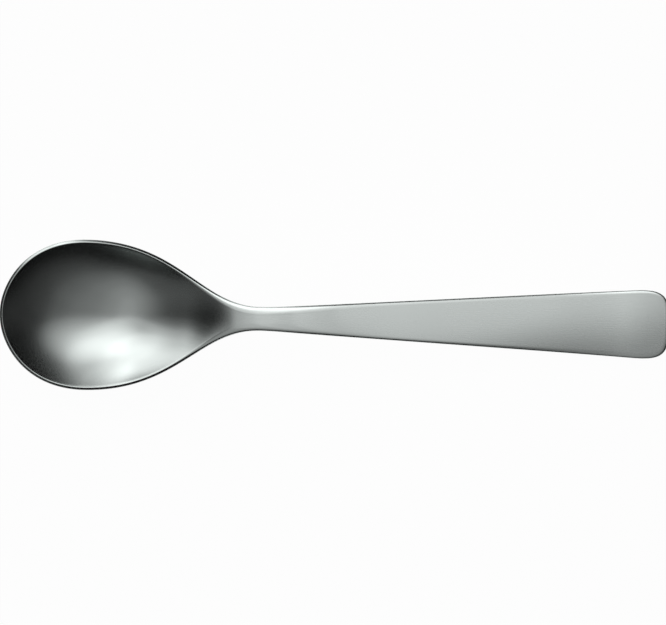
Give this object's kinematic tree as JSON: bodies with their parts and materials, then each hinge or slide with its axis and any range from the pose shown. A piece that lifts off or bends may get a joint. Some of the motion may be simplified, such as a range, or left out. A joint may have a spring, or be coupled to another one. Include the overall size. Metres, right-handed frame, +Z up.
{
  "type": "spoon",
  "caption": "Satin steel spoon with an egg-shaped hollow bowl, a slim arched neck and a flat handle that widens to a rounded end.",
  "frame": {"origin": "on the table, under the middle of the spoon's length and width", "axes": "+X from the bowl to the handle, +Y across the spoon, +Z up out of the open bowl"},
  "size_m": [0.16, 0.0358, 0.0146],
  "materials": {
    "satin_steel": "satin stainless steel, brushed along the handle and softly blasted in the bowl, edges polished smooth"
  },
  "bodies": {
    "root": {"bowl": "satin_steel", "handle": "satin_steel"}
  },
  "joints": []
}
